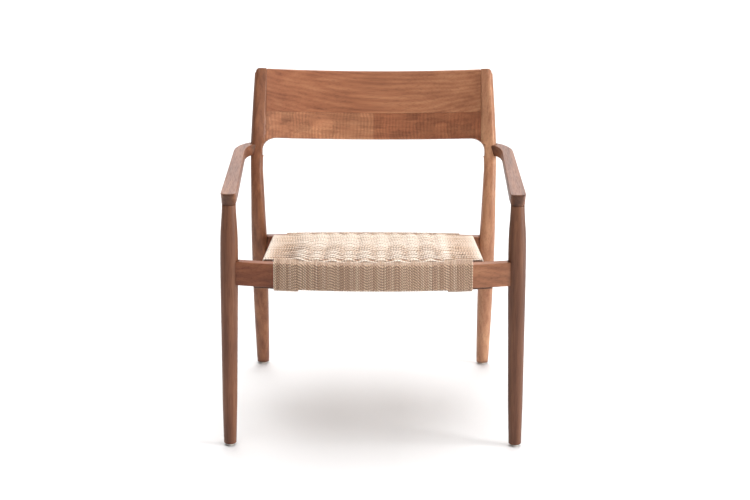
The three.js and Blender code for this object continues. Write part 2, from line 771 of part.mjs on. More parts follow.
const glideGeometry = glideSolid();
const sideParts = [
  ["front_leg", geometryOf(frontLegPiece), teak],
  ["rear_leg", geometryOf(rearLegPiece), teak],
  ["arm", geometryOf(armPiece), teak],
  ["front_corner_block", geometryOf(cornerBlockSolid()), teak],
  ["side_rail", geometryOf(sideRailSolid()), teak],
  ["side_cord_wrap", geometryOf(sideWrapSolid()), paperCord],
  ["arm_tenon", geometryOf(armTenonSolid()), beech],
  ["back_tenon_lower", geometryOf(lowerTenon()), beech],
  ["back_tenon_upper", geometryOf(upperTenon()), beech],
  ["front_glide", glideGeometry, nylon, frontFoot],
  ["rear_glide", glideGeometry, nylon, rearFoot],
  ["front_glide_nail", nailGeometry(), steel, frontFoot],
  ["rear_glide_nail", nailGeometry(), steel, rearFoot],
];

for (const [side, direction] of [
  ["right", 1],
  ["left", -1],
]) {
  const half = new THREE.Group();
  half.scale.x = direction;
  for (const [name, geometry, finish, matrix] of sideParts) {
    addPiece(`${name}_${side}`, geometry, finish, half, matrix);
  }
  chair.add(half);
}

addPiece("front_rail", geometryOf(frontRailPiece), teak, chair);
addPiece("back_rail", geometryOf(backRailPiece), teak, chair);
addPiece("back_board_upper", geometryOf(upperBoardPiece), teak, chair);
addPiece("back_board_lower", geometryOf(lowerBoardPiece), teak, chair);
addPiece("back_board_spline", geometryOf(splineSolid()), beech, chair);
addPiece("front_cord_wrap", geometryOf(frontWrapSolid()), paperCord, chair);
addPiece("back_cord_wrap", geometryOf(backWrapSolid()), paperCord, chair);
addPiece("woven_seat", geometryOf(panelSolid()), paperCord, chair);

// The origin stands on the floor, under the middle of the whole chair.
const box = new THREE.Box3().setFromObject(chair, true);
chair.position.y = -(box.min.y + box.max.y) / 2;
chair.updateMatrixWorld(true);

export default chair;
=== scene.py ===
import math
import random

import bpy
import numpy as np
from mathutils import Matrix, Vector


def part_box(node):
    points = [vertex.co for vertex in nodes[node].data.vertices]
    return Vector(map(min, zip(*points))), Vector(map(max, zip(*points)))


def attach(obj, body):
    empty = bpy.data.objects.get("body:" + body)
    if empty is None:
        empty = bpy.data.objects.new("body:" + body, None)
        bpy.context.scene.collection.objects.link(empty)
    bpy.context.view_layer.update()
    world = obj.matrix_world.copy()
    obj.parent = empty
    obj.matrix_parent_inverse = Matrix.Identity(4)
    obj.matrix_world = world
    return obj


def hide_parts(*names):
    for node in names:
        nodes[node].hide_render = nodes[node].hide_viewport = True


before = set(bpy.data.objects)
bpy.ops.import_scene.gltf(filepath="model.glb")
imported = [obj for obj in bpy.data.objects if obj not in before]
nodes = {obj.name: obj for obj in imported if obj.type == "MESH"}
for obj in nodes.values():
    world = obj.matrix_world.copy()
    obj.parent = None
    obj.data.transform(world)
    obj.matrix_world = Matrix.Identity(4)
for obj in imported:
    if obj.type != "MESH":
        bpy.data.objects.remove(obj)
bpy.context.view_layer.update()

mm = 0.001
dice = random.Random(11)


# ---- small helpers


def deselectAll():
    if bpy.context.object and bpy.context.object.mode != "OBJECT":
        bpy.ops.object.mode_set(mode="OBJECT")
    bpy.ops.object.select_all(action="DESELECT")


def pick(piece):
    deselectAll()
    piece.select_set(True)
    bpy.context.view_layer.objects.active = piece


def paint(hexText):
    # sRGB hex to the linear colour that sockets take
    channels = [int(hexText[i : i + 2], 16) / 255 for i in (1, 3, 5)]
    linear = [c / 12.92 if c <= 0.04045 else ((c + 0.055) / 1.055) ** 2.4 for c in channels]
    return (*linear, 1.0)


def addNode(tree, kind, settings=(), links=()):
    # settings: property or input name or number to value; links: input to an output socket
    node = tree.nodes.new(kind)
    for key, value in dict(settings).items():
        if isinstance(key, str) and hasattr(node, key):
            setattr(node, key, value)
        else:
            node.inputs[key].default_value = value
    for key, socket in dict(links).items():
        tree.links.new(socket, node.inputs[key])
    return node


def addRamp(tree, factor, stops):
    ramp = addNode(tree, "ShaderNodeValToRGB", {}, {"Fac": factor})
    elements = ramp.color_ramp.elements
    while len(elements) < len(stops):
        elements.new(0.5)
    for element, (place, colour) in zip(elements, stops):
        element.position = place
        element.color = colour if len(colour) == 4 else (*colour, 1)
    return ramp.outputs["Color"]


def newMaterial(name):
    material = bpy.data.materials.new(name)
    material.use_nodes = True
    tree = material.node_tree
    tree.nodes.clear()
    shader = addNode(tree, "ShaderNodeBsdfPrincipled")
    addNode(tree, "ShaderNodeOutputMaterial", {}, {"Surface": shader.outputs["BSDF"]})
    return material, tree, shader


def grey(level):
    return (level, level, level, 1)


# ---- materials

wood = {
    "ringWidth": 13,  # growth rings, mm across the grain
    "streakWidth": 15,  # the widest of the dark and light streaks
    "streakLength": 360,
    "poreWidth": 1.3,  # drawn about three times too wide, or they would not show
    "poreLength": 30,
    "patchLength": 150,
    "rippleWidth": 8,  # fiddleback ripples across the grain
    "blockSize": 24,
    "roughness": 0.4,
}


def oiledHardwood(name, turn, shades, seed, rings=0.07, ripple=0.0, darker=None):
    # Reddish-brown hardwood, planed, sanded and oiled: satin, with long sweeping growth rings,
    # darker streaks and fine pores. turn brings the grain's direction to X.
    material, tree, shader = newMaterial(name)
    place = addNode(tree, "ShaderNodeTexCoord").outputs["Object"]
    along = addNode(
        tree,
        "ShaderNodeMapping",
        {"vector_type": "POINT", "Rotation": turn, "Location": (seed * 1.7, seed * 0.9, seed * 2.3)},
        {"Vector": place},
    ).outputs["Vector"]

    def stretched(share):
        # the same place, squeezed along the grain so that a pattern runs out long
        scale = {"vector_type": "POINT", "Scale": (share, 1, 1)}
        return addNode(tree, "ShaderNodeMapping", scale, {"Vector": along}).outputs["Vector"]

    def noise(width, share, detail, roughness=0.5, distortion=0.0):
        settings = {"Scale": 1 / (width * mm), "Detail": detail, "Roughness": roughness,
                    "Distortion": distortion}
        return addNode(
            tree, "ShaderNodeTexNoise", settings, {"Vector": stretched(share)}
        ).outputs["Fac"]

    def blend(first, second, share):
        mixed = addNode(
            tree, "ShaderNodeMix", {"data_type": "FLOAT", "Factor": share}, {"A": first, "B": second}
        )
        return mixed.outputs["Result"]

    def shadeWith(colour, other, share, blendType="MULTIPLY"):
        settings = {"data_type": "RGBA", "blend_type": blendType}
        links = {"A": colour}
        for key, value in (("Factor", share), ("B", other)):
            if isinstance(value, (float, int, tuple)):
                settings[key] = value
            else:
                links[key] = value
        return addNode(tree, "ShaderNodeMix", settings, links).outputs["Result"]

    ringWave = addNode(
        tree,
        "ShaderNodeTexWave",
        {"wave_type": "BANDS", "bands_direction": "DIAGONAL", "wave_profile": "SIN",
         "Scale": 2 * math.pi / 10 / (wood["ringWidth"] * mm), "Distortion": 14.0,
         "Detail": 3.0, "Detail Scale": 0.24, "Detail Roughness": 0.55},
        {"Vector": stretched(0.06)},
    ).outputs["Fac"]
    streaks = noise(wood["streakWidth"], wood["streakWidth"] / wood["streakLength"], 5.0, 0.62, 0.15)
    patch = noise(wood["patchLength"] / 2, 0.5, 1.0)
    pores = noise(wood["poreWidth"], wood["poreWidth"] / wood["poreLength"], 1.0)
    tone = blend(blend(streaks, ringWave, rings), patch, 0.3)
    stops = [(0.3 + 0.4 * i / (len(shades) - 1), paint(shade)) for i, shade in enumerate(shades)]
    colour = addRamp(tree, tone, stops)
    colour = shadeWith(colour, addRamp(tree, pores, [(0.34, grey(0.55)), (0.46, grey(1))]), 0.5)
    if ripple:
        # curly grain: soft bars across it, and small blocks that catch the light differently
        bars = addNode(
            tree,
            "ShaderNodeTexWave",
            {"wave_type": "BANDS", "bands_direction": "X",
             "Scale": 2 * math.pi / 20 / (wood["rippleWidth"] * mm),
             "Distortion": 7.0, "Detail": 3.0, "Detail Scale": 0.5, "Detail Roughness": 0.6},
            {"Vector": stretched(1.0)},
        ).outputs["Fac"]
        where = addRamp(tree, noise(45, 1.0, 1.0), [(0.4, grey(0.15)), (0.6, grey(1))])
        barShare = addNode(
            tree, "ShaderNodeMath", {"operation": "MULTIPLY", 1: ripple}, {0: where}
        ).outputs["Value"]
        colour = shadeWith(
            colour, addRamp(tree, bars, [(0.05, grey(0.78)), (0.9, grey(1.1))]), barShare
        )
        blocks = addNode(
            tree,
            "ShaderNodeTexVoronoi",
            {"distance": "CHEBYCHEV", "Scale": 1 / (wood["blockSize"] * mm), "Randomness": 0.75},
            {"Vector": stretched(0.8)},
        ).outputs["Color"]
        colour = shadeWith(
            colour, addRamp(tree, blocks, [(0.2, grey(0.7)), (0.8, grey(1.14))]), ripple * 0.8
        )
    if darker:
        # the same wood grows darker from one place along X to another
        start, end, most = darker
        acrossX = addNode(tree, "ShaderNodeSeparateXYZ", {}, {"Vector": place}).outputs["X"]
        share = addNode(
            tree,
            "ShaderNodeMapRange",
            {"From Min": start * mm, "From Max": end * mm, "To Min": 0.0, "To Max": most},
            {"Value": acrossX},
        ).outputs["Result"]
        colour = shadeWith(colour, paint("#BE927C"), share)
    # end grain drinks more oil and is darker
    facing = addNode(tree, "ShaderNodeTexCoord").outputs["Normal"]
    turned = addNode(
        tree, "ShaderNodeMapping", {"vector_type": "NORMAL", "Rotation": turn}, {"Vector": facing}
    ).outputs["Vector"]
    alongGrain = addNode(tree, "ShaderNodeSeparateXYZ", {}, {"Vector": turned}).outputs["X"]
    endOn = addNode(
        tree, "ShaderNodeMath", {"operation": "ABSOLUTE"}, {0: alongGrain}
    ).outputs["Value"]
    colour = shadeWith(colour, addRamp(tree, endOn, [(0.45, grey(1)), (0.9, grey(0.5))]), 1.0)
    tree.links.new(colour, shader.inputs["Base Color"])
    rough = addNode(
        tree,
        "ShaderNodeMapRange",
        {"From Min": 0.3, "From Max": 0.6, "To Min": wood["roughness"] + 0.14,
         "To Max": wood["roughness"]},
        {"Value": pores},
    ).outputs["Result"]
    tree.links.new(rough, shader.inputs["Roughness"])
    bump = addNode(
        tree,
        "ShaderNodeBump",
        {"Strength": 0.3, "Distance": 0.12 * mm},
        {"Height": blend(pores, streaks, 0.4)},
    )
    tree.links.new(bump.outputs["Normal"], shader.inputs["Normal"])
    shader.inputs["Specular IOR Level"].default_value = 0.32
    return material


paperCord = {
    "thickness": 3.3,
    "plies": 1,  # three in a real cord; one coarser ridge is drawn, so that the twist shows
    "plyPitch": 6.0,  # one full turn of the drawn ridge, mm
    "fibre": 0.35,
    "wrapShadedTones": (0.12, 0.4),  # from brownish to cream, one tone for each turn; painted shade: the range lies browner than the seat's, as the rails' turns hang in the shade
    # painted light: the seat's wefts are paler than the turns, as the seat's top is lit from above
    "seatLitTones": (0.62, 0.95),
    "wrapSlip": (0.5, 3.2),  # each turn's twist lies this much further on than its neighbour's
    "weftSlip": (0, 50),
    "sideShade": 0.26,  # painted shade: the cords outside the warps are drawn this much darker, for the shadows between their rows
    "rowShadeTones": (0.1, 0.45, 0.8, 1.0),  # painted shade: drawn browner where a row lies deep between its neighbours
}


def twistedPaper(name):
    # Unbleached kraft paper, twisted in three plies: matt, warm cream, with slanting grooves
    # between the plies and a faint papery streak. Reads the cord's own UV: turns round, mm along.
    material, tree, shader = newMaterial(name)
    uv = addNode(tree, "ShaderNodeUVMap", {"uv_map": "cordUV"}).outputs["UV"]
    split = addNode(tree, "ShaderNodeSeparateXYZ", {}, {"Vector": uv})

    def reckon(operation, first, second):
        links, settings = {}, {"operation": operation}
        for i, value in enumerate((first, second)):
            if isinstance(value, (int, float)):
                settings[i] = value
            else:
                links[i] = value
        return addNode(tree, "ShaderNodeMath", settings, links).outputs["Value"]

    turns = reckon("MULTIPLY", split.outputs["X"], 2 * math.pi * paperCord["plies"])
    perLength = 2 * math.pi * paperCord["plies"] / paperCord["plyPitch"]
    runs = reckon("MULTIPLY", split.outputs["Y"], perLength)
    phase = reckon("ADD", turns, runs)
    ply = reckon("MULTIPLY_ADD", reckon("SINE", phase, 0), 0.5)
    ply.node.inputs[2].default_value = 0.5
    groove = reckon("POWER", ply, 0.55)
    # each cord's own tone, less the painted shade that its route carries; low values give the painted
    # brown shade
    tone = addNode(tree, "ShaderNodeAttribute", {"attribute_name": "cordToneAndShade"}).outputs["Fac"]
    fibre = addNode(
        tree,
        "ShaderNodeTexNoise",
        {"Scale": 1 / (paperCord["fibre"] * mm) / 4, "Detail": 2.0},
        {"Vector": addNode(tree, "ShaderNodeTexCoord").outputs["Object"]},
    ).outputs["Fac"]
    mixed = addNode(
        tree, "ShaderNodeMix", {"data_type": "FLOAT", "Factor": 0.2}, {"A": tone, "B": fibre}
    ).outputs["Result"]
    colour = addRamp(
        tree, mixed, [(0.0, paint("#86593E")), (0.35, paint("#C9A98E")), (0.9, paint("#F4E8DB"))]
    )
    # painted shade in the grooves between the plies, and a little painted light on the ridges between
    # them
    shade = addRamp(tree, groove, [(0.0, grey(0.1)), (0.8, grey(1.1))])
    # the grooves' painted shade shows most on the brownish cords, which hang in the shade
    grooveShare = addNode(
        tree,
        "ShaderNodeMapRange",
        {"From Min": 0.4, "From Max": 0.7, "To Min": 0.95, "To Max": 0.45},
        {"Value": tone},
    ).outputs["Result"]
    colour = addNode(
        tree,
        "ShaderNodeMix",
        {"data_type": "RGBA", "blend_type": "MULTIPLY"},
        {"Factor": grooveShare, "A": colour, "B": shade},
    ).outputs["Result"]
    tree.links.new(colour, shader.inputs["Base Color"])
    bump = addNode(
        tree, "ShaderNodeBump", {"Strength": 1.0, "Distance": 0.9 * mm}, {"Height": groove}
    )
    tree.links.new(bump.outputs["Normal"], shader.inputs["Normal"])
    shader.inputs["Roughness"].default_value = 0.78
    shader.inputs["Sheen Weight"].default_value = 0.15
    return material


def sawnBeech():
    # Bare beech dowel stock: pale, matt, with short brown flecks. It hardly shows.
    material, tree, shader = newMaterial("beech_sawn")
    place = addNode(tree, "ShaderNodeTexCoord").outputs["Object"]
    fleck = addNode(tree, "ShaderNodeTexNoise", {"Scale": 500.0, "Detail": 2.0}, {"Vector": place})
    colour = addRamp(tree, fleck.outputs["Fac"], [(0.35, paint("#A98458")), (0.5, paint("#CBAA7E"))])
    tree.links.new(colour, shader.inputs["Base Color"])
    shader.inputs["Roughness"].default_value = 0.7
    return material


def mouldedNylon():
    # Nylon glide, injection moulded: pale, waxy, slightly scuffed where it stands.
    material, tree, shader = newMaterial("nylon_moulded")
    place = addNode(tree, "ShaderNodeTexCoord").outputs["Object"]
    scuff = addNode(tree, "ShaderNodeTexNoise", {"Scale": 700.0, "Detail": 3.0}, {"Vector": place})
    colour = addRamp(tree, scuff.outputs["Fac"], [(0.35, paint("#C9C2B8")), (0.6, paint("#E3DED6"))])
    tree.links.new(colour, shader.inputs["Base Color"])
    shader.inputs["Roughness"].default_value = 0.42
    shader.inputs["IOR"].default_value = 1.53
    shader.inputs["Subsurface Weight"].default_value = 0.1
    shader.inputs["Subsurface Scale"].default_value = 2 * mm
    return material


def drawnSteel():
    # Bright drawn nail wire: fine lines along the shank.
    material, tree, shader = newMaterial("steel_drawn")
    place = addNode(tree, "ShaderNodeTexCoord").outputs["Object"]
    lines = addNode(tree, "ShaderNodeTexNoise", {"Scale": 900.0, "Detail": 2.0}, {"Vector": place})
    rough = addNode(
        tree, "ShaderNodeMapRange", {"To Min": 0.25, "To Max": 0.45}, {"Value": lines.outputs["Fac"]}
    )
    tree.links.new(rough.outputs["Result"], shader.inputs["Roughness"])
    shader.inputs["Base Color"].default_value = paint("#B9BBBD")
    shader.inputs["Metallic"].default_value = 1.0
    return material


upright = (0, math.pi / 2, 0)  # grain along Z
frontToBack = (0, 0, math.pi / 2)  # grain along Y
sideways = (0, 0, 0)  # grain along X
boardShades = ["#84533A", "#A36C4D", "#B9835F"]
# lit and shaded copies of one wood: the right rear leg's palette is lighter, as painted light from the
# lamp on the right, and the right front leg's is darker, as painted shade
legShadesLitAndShaded = {
    "front_leg_left": ["#553323", "#724832", "#8C5E43"],
    "front_leg_right": ["#4C2D1F", "#66402C", "#80543B"],
    "rear_leg_left": ["#5F3824", "#805138", "#9C6A49"],
    "rear_leg_right": ["#87573E", "#A97759", "#C2926F"],
}
armShades = ["#5C3826", "#784C35", "#916347"]
railShades = ["#714733", "#946246", "#AF7B59"]

legWoods = {}
for i, (legName, shades) in enumerate(legShadesLitAndShaded.items()):
    legWoods[legName] = oiledHardwood("hardwood_oiled_" + legName, upright, shades, 1.0 + 1.3 * i)
armWood = oiledHardwood("hardwood_oiled_arm", frontToBack, armShades, 3.0)
railWood = oiledHardwood("hardwood_oiled_rail", sideways, railShades, 4.0, darker=(180, -220, 0.7))
sideRailWood = oiledHardwood("hardwood_oiled_side_rail", frontToBack, armShades, 5.0)
upperBoardWood = oiledHardwood(
    "hardwood_oiled_upper_board", sideways, boardShades, 6.4, rings=0.14, darker=(220, -240, 0.45)
)
lowerBoardWood = oiledHardwood(
    "hardwood_oiled_lower_board", sideways, boardShades, 7.2, ripple=0.8, darker=(-3, 3, 0.5)
)
cordPaper = twistedPaper("paper_cord_twisted")
beech = sawnBeech()
nylon = mouldedNylon()
steel = drawnSteel()
print("materials made")


# ---- wooden pieces

sanding = {"sharpAngle": 38}


def smoothedPiece(nodeName, material):
    # a merged copy of the solid, so that the light runs smoothly over its faces
    source = nodes[nodeName]
    piece = source.copy()
    piece.data = source.data.copy()
    for key in list(piece.keys()):
        del piece[key]
    piece.name = nodeName + "_finished"
    piece.parent = None
    bpy.context.scene.collection.objects.link(piece)
    pick(piece)
    bpy.ops.object.mode_set(mode="EDIT")
    bpy.ops.mesh.select_all(action="SELECT")
    bpy.ops.mesh.remove_doubles(threshold=0.01 * mm)
    bpy.ops.mesh.dissolve_limited(angle_limit=math.radians(0.3))
    bpy.ops.mesh.quads_convert_to_tris()
    bpy.ops.object.mode_set(mode="OBJECT")
    bpy.ops.object.shade_smooth_by_angle(angle=math.radians(sanding["sharpAngle"]))
    normals = piece.modifiers.new("evenNormals", "WEIGHTED_NORMAL")
    normals.keep_sharp = True
    bpy.ops.object.modifier_apply(modifier=normals.name)
    piece.data.materials.clear()
    piece.data.materials.append(material)
    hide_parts(nodeName)
    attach(piece, "root")


for side in ("left", "right"):
    for leg in ("front_leg_", "rear_leg_"):
        smoothedPiece(leg + side, legWoods[leg + side])
    smoothedPiece("arm_" + side, armWood)
    smoothedPiece("side_rail_" + side, sideRailWood)
smoothedPiece("front_rail", railWood)
smoothedPiece("back_rail", railWood)
smoothedPiece("back_board_upper", upperBoardWood)
smoothedPiece("back_board_lower", lowerBoardWood)
print("wooden pieces finished")


def giveMaterial(words, material):
    for name, piece in nodes.items():
        if any(word in name for word in words):
            piece.data.materials.clear()
            piece.data.materials.append(material)


giveMaterial(["tenon", "spline"], beech)
giveMaterial(["corner_block"], sideRailWood)
giveMaterial(["glide_left", "glide_right"], nylon)
giveMaterial(["glide_nail"], steel)


# ---- the seat's frame, read from the rails

radius = paperCord["thickness"] / 2 * mm
lift = 0.3 * mm + radius  # cord's middle above the wood
frontLow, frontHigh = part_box("front_rail")
backLow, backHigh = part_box("back_rail")
sideLow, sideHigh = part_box("side_rail_right")
glideLow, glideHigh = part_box("front_glide_right")
legY = (glideLow.y + glideHigh.y) / 2

seatRails = {
    "thickness": 22 * mm,
    "frontChord": 288.6 * mm,
    "frontBow": 33 * mm,
    "frontForward": 3.5 * mm,
    "backChord": 252.8 * mm,
    "backBow": 12 * mm,
    "arris": 2.5 * mm,
}
halfRail = seatRails["thickness"] / 2
backY = backLow.y + halfRail
seatSlope = math.atan2(frontHigh.z - backHigh.z, backY - legY)


def arcDrop(x, chord, bow):
    # how far the arc lies inside its own middle, at x
    size = (chord**2 + bow**2) / (2 * bow)
    return size - math.sqrt(size**2 - x**2)


def frontMiddle(x):
    return legY - seatRails["frontForward"] - seatRails["frontBow"] + arcDrop(
        x, seatRails["frontChord"], seatRails["frontBow"]
    )


def backMiddle(x):
    return backY + seatRails["backBow"] - arcDrop(x, seatRails["backChord"], seatRails["backBow"])


def seatTop(y):
    # height of the seat, level over the bowed front rail and then falling to the back rail
    return frontHigh.z - max(y - legY, 0) * math.tan(seatSlope)


# ---- cords

cornerSteps = 4  # straight pieces that a cord takes to turn a corner

weave = {
    "warps": 10,
    "warpSpacing": 35 * mm,
    "weftPairs": 62,
    "wave": 2.8 * mm,  # how far a weft rises and dips over the warps
    "valley": 1.0 * mm,  # how far it is pulled down between them
    "uneven": 1.1 * mm,
    "rowLevels": (1, 0.3, -0.5, -1),
    "weftGap": 1.72 * mm,  # from a pair's middle to each of its cords
    "wrapPitch": 3.5 * mm,  # ten turns to a warp spacing, so that the warps take the place of two
    "firstRowLead": 1.3 * mm,  # from the front rail's inside to the first row
    "cornerLead": 15 * mm,  # this much more beyond the corner blocks
    "cornerZone": (150 * mm, 175 * mm),
    "lastRowGap": 3.6 * mm,
    "weftSteps": 112,
    "warpTail": 18 * mm,  # how far a warp's end runs up the inside of its rail
    "hookDepth": 30 * mm,  # where a weft ends on its nail, below the seat
}
blocks = {"inner": 157 * mm, "depth": 13 * mm, "lowDrop": 9.5 * mm}
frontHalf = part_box("front_cord_wrap")[1].x
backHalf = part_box("back_cord_wrap")[1].x
warpPlaces = [
    (k - (weave["warps"] - 1) / 2) * weave["warpSpacing"] for k in range(weave["warps"])
]


def cordMesh(
    name, routes, across, sides, pale, slip, thick=radius, finish=(cordPaper, "paper_cord")
):
    # one mesh of many round cords; routes are (points, closed), across is a direction that no
    # route runs along
    points, faces, uvs, tonesAndShades = [], [], [], []
    base = 0
    start = 0.0
    for route, closed in routes:
        line = np.array([point[:3] for point in route])
        # a point's fourth value is painted shade, taken off its cord's tone there
        paintedShades = [point[3] if len(point) > 3 else 0.0 for point in route]
        count = len(line)
        if closed:
            ahead, behind = np.roll(line, -1, axis=0), np.roll(line, 1, axis=0)
        else:
            ahead = np.vstack([line[1:], 2 * line[-1] - line[-2]])
            behind = np.vstack([2 * line[0] - line[1], line[:-1]])
        run = ahead - behind
        run /= np.linalg.norm(run, axis=1)[:, None]
        reference = np.array(across, dtype=float)
        sideways = reference - run * (run @ reference)[:, None]
        sideways /= np.linalg.norm(sideways, axis=1)[:, None]
        up = np.cross(run, sideways)
        steps = np.linalg.norm(np.diff(line, axis=0), axis=1)
        lengths = np.concatenate([[0], np.cumsum(steps)]) / mm
        closing = lengths[-1] + np.linalg.norm(line[0] - line[-1]) / mm
        size = thick * dice.uniform(0.95, 1.03)
        start += dice.uniform(*slip)
        angles = 2 * math.pi * np.arange(sides) / sides
        ring = (
            line[:, None, :]
            + size * np.cos(angles)[None, :, None] * sideways[:, None, :]
            + size * np.sin(angles)[None, :, None] * up[:, None, :]
        )
        points.append(ring.reshape(-1, 3))
        tone = dice.uniform(*pale)
        for i in range(count if closed else count - 1):
            nextRing = (i + 1) % count
            vLow = lengths[i] + start
            vHigh = (lengths[i + 1] if i + 1 < count else closing) + start
            for j in range(sides):
                nextSide = (j + 1) % sides
                faces.append(
                    (
                        base + i * sides + j,
                        base + i * sides + nextSide,
                        base + nextRing * sides + nextSide,
                        base + nextRing * sides + j,
                    )
                )
                uLow, uHigh = j / sides, (j + 1) / sides
                uvs += [uLow, vLow, uHigh, vLow, uHigh, vHigh, uLow, vHigh]
                tonesAndShades += [tone - paintedShades[i]] * 2 + [tone - paintedShades[nextRing]] * 2
        if not closed:
            for first, order in ((base, -1), (base + (count - 1) * sides, 1)):
                faces.append(tuple(first + j for j in range(sides))[::order])
                uvs += [0.0, start] * sides
                tonesAndShades += [tone] * sides
        base += count * sides
    mesh = bpy.data.meshes.new(name)
    mesh.from_pydata(np.vstack(points).tolist(), [], faces)
    uvLayer = mesh.uv_layers.new(name="cordUV")
    uvLayer.data.foreach_set("uv", uvs)
    toneLayer = mesh.attributes.new("cordToneAndShade", "FLOAT", "CORNER")
    toneLayer.data.foreach_set("value", tonesAndShades)
    mesh.shade_smooth()
    mesh.materials.append(finish[0])
    piece = bpy.data.objects.new(name, mesh)
    bpy.context.scene.collection.objects.link(piece)
    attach(piece, "root")
    return piece


def roundedRoute(corners, size):
    # a closed outline with its corners rounded, as (a, b) pairs
    route = []
    count = len(corners)
    for i in range(count):
        before, here, after = (Vector(corners[(i + j) % count]) for j in (-1, 0, 1))
        inward, outward = (before - here), (after - here)
        reach = min(size, inward.length * 0.45, outward.length * 0.45)
        start, end = here + inward.normalized() * reach, here + outward.normalized() * reach
        for k in range(cornerSteps + 1):
            share = k / cornerSteps
            route.append(start.lerp(here, share).lerp(here.lerp(end, share), share))
    return route


def loopRound(x, middle, direction, low, high, corner=None):
    # one turn of cord round an upright rail at x; direction is +1 where the inside is towards +Y
    out = halfRail + lift
    inner = out
    outline = [(-out, high + lift), (-out, low - lift)]
    if corner:
        depth, drop = corner
        inner = out + depth
        outline += [(out - 2 * lift, low - drop - lift)]
    outline += [(inner, (low - corner[1] if corner else low) - lift), (inner, high + lift)]
    route = []
    wander = [dice.uniform(-0.3, 0.3) * mm for _ in range(5)]
    flat = roundedRoute(outline, seatRails["arris"] + lift)
    for i, (a, b) in enumerate(flat):
        drift = wander[i * 5 // len(flat)] * math.sin(math.pi * i / len(flat))
        route.append((x + drift, middle + direction * a, b))
    return route


def railLoops(half, middle, direction, low, high, corners=False):
    # turns side by side; a pair of warps takes the place of two turns
    routes = []
    pitch = weave["wrapPitch"]
    count = int((half + 1.4 * mm - radius) / pitch + 0.5)
    for i in range(-count, count):
        x = (i + 0.5) * pitch
        if any(abs(x - place) < pitch for place in warpPlaces):
            continue
        corner = None
        if corners and abs(x) > blocks["inner"]:
            corner = (blocks["depth"] + 0.3 * mm, blocks["lowDrop"])
        routes.append((loopRound(x, middle(x), direction, low, high, corner), True))
    return routes


frontRoutes = railLoops(frontHalf, frontMiddle, 1, frontLow.z, frontHigh.z, corners=True)
wrapLook = ((1, 0, 0), 8, paperCord["wrapShadedTones"], paperCord["wrapSlip"])
frontWrap = cordMesh("front_rail_cord", frontRoutes, *wrapLook)
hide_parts("front_cord_wrap")
backRoutes = railLoops(backHalf, backMiddle, -1, backLow.z, backHigh.z)
backWrap = cordMesh("back_rail_cord", backRoutes, *wrapLook)
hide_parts("back_cord_wrap")
print("rails wrapped:", len(frontRoutes), "and", len(backRoutes), "turns")


def warpRoute(x):
    # up the front rail's inside, round it, back across the seat and round the back rail
    out = halfRail + lift
    soft = seatRails["arris"] + lift
    front, back = frontMiddle(x), backMiddle(x)
    path = []
    outline = [
        (front + out, frontLow.z + weave["warpTail"]),
        (front + out, frontLow.z - lift),
        (front - out, frontLow.z - lift),
        (front - out, frontHigh.z + lift),
        (front + out, seatTop(front + out) + lift),
        (back - out, seatTop(back - out) + lift),
        (back + out, backHigh.z + lift),
        (back + out, backLow.z - lift),
        (back - out, backLow.z - lift),
        (back - out, backLow.z + weave["warpTail"]),
    ]
    path.append(Vector(outline[0]))
    for i in range(1, len(outline) - 1):
        before, here, after = (Vector(outline[i + j]) for j in (-1, 0, 1))
        inward, outward = before - here, after - here
        start = here + inward.normalized() * min(soft, inward.length * 0.4)
        end = here + outward.normalized() * min(soft, outward.length * 0.4)
        for k in range(cornerSteps + 1):
            share = k / cornerSteps
            path.append(start.lerp(here, share).lerp(here.lerp(end, share), share))
        if i == 4:
            rows = weave["weftPairs"]
            for k in range(1, 2 * rows):
                point = end.lerp(Vector(outline[5]), k / (2 * rows))
                point.y += 0.3 * mm * math.sin(math.pi * k / 2)
                path.append(point)
    path.append(Vector(outline[-1]))
    return [(x, point.x, point.y) for point in path]


warpRoutes = []
for place in warpPlaces:
    for shift in (-1, 1):
        warpRoutes.append((warpRoute(place + shift * weave["wrapPitch"] / 2), False))
warps = cordMesh("seat_warp_cord", warpRoutes, *wrapLook)


def smoothStep(value, low, high):
    share = min(max((value - low) / (high - low), 0), 1)
    return share * share * (3 - 2 * share)


sideOut = sideHigh.x + lift
sideIn = sideLow.x - lift
sideDepth = 53 * mm
sideDrop = 1 * mm


def unevenness(row):
    # rows are packed in fours and stand less proud towards the back
    level = weave["rowLevels"][row % 4] + dice.uniform(-0.35, 0.35)
    return level * weave["uneven"] * (1 - 0.5 * row / weave["weftPairs"])


rowRise = [unevenness(row) for row in range(weave["weftPairs"])]


